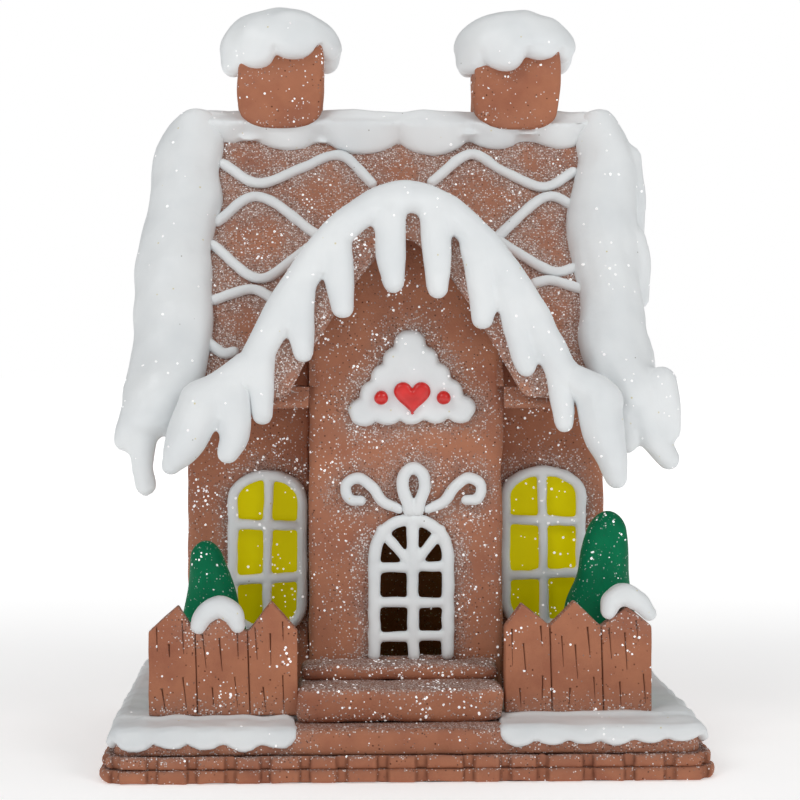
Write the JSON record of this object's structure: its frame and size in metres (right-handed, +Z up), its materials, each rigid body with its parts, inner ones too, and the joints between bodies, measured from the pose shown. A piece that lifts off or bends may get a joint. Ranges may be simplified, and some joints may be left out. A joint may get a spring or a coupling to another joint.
{
  "type": "gingerbread house ornament",
  "caption": "Clay-dough gingerbread house ornament on a brick-edged base, with thick snow icing, icicles, lattice door, lit yellow windows, picket fences and small green trees.",
  "frame": {"origin": "centre of the base's underside", "axes": "+Z up; -Y is the front with the door and steps; +X to the viewer's right when facing the front"},
  "size_m": [0.182, 0.141, 0.2387],
  "materials": {
    "ginger_clay": "air-dried brown clay dough with fine dark specks, small pinholes and a dusting of clear glitter",
    "white_icing": "smooth satin white clay that reads as piped icing and snow",
    "green_clay": "smooth green clay with white glitter",
    "red_clay": "bright red clay, slightly glossy",
    "yellow_film": "thin yellow film behind the window bars"
  },
  "bodies": {
    "root": {"back_eave_snow": "white_icing", "base_course_lower": "ginger_clay", "base_course_upper": "ginger_clay", "base_slab": "ginger_clay", "chimney_left": "ginger_clay", "chimney_right": "ginger_clay", "chimney_snow_left": "white_icing", "chimney_snow_right": "white_icing", "door_lattice": "white_icing", "door_loop": "white_icing", "door_scroll_left": "white_icing", "door_scroll_right": "white_icing", "fence_left": "ginger_clay", "fence_right": "ginger_clay", "fence_snow_left": "white_icing", "fence_snow_right": "white_icing", "icing_a_left": "white_icing", "icing_a_right": "white_icing", "icing_b_left": "white_icing", "icing_b_right": "white_icing", "icing_back_1": "white_icing", "icing_back_2": "white_icing", "icing_back_3": "white_icing", "icing_c_left": "white_icing", "icing_c_right": "white_icing", "icing_d_left": "white_icing", "icing_d_right": "white_icing", "icing_e_left": "white_icing", "plaque": "white_icing", "plaque_berry_left": "red_clay", "plaque_berry_right": "red_clay", "plaque_heart": "red_clay", "porch_board": "ginger_clay", "porch_front": "ginger_clay", "porch_roof": "ginger_clay", "porch_side_left": "ginger_clay", "porch_side_right": "ginger_clay", "porch_snow": "white_icing", "ridge_snow": "white_icing", "roof_back": "ginger_clay", "roof_front": "ginger_clay", "roof_snow_left": "white_icing", "roof_snow_right": "white_icing", "snow_ground_left": "white_icing", "snow_ground_right": "white_icing", "step_lower": "ginger_clay", "step_upper": "ginger_clay", "tree_left": "green_clay", "tree_right": "green_clay", "wall_back": "ginger_clay", "wall_front_left": "ginger_clay", "wall_front_right": "ginger_clay", "wall_side_left": "ginger_clay", "wall_side_right": "ginger_clay", "window_film_left": "yellow_film", "window_film_right": "yellow_film", "window_frame_left": "white_icing", "window_frame_right": "white_icing"}
  },
  "joints": []
}
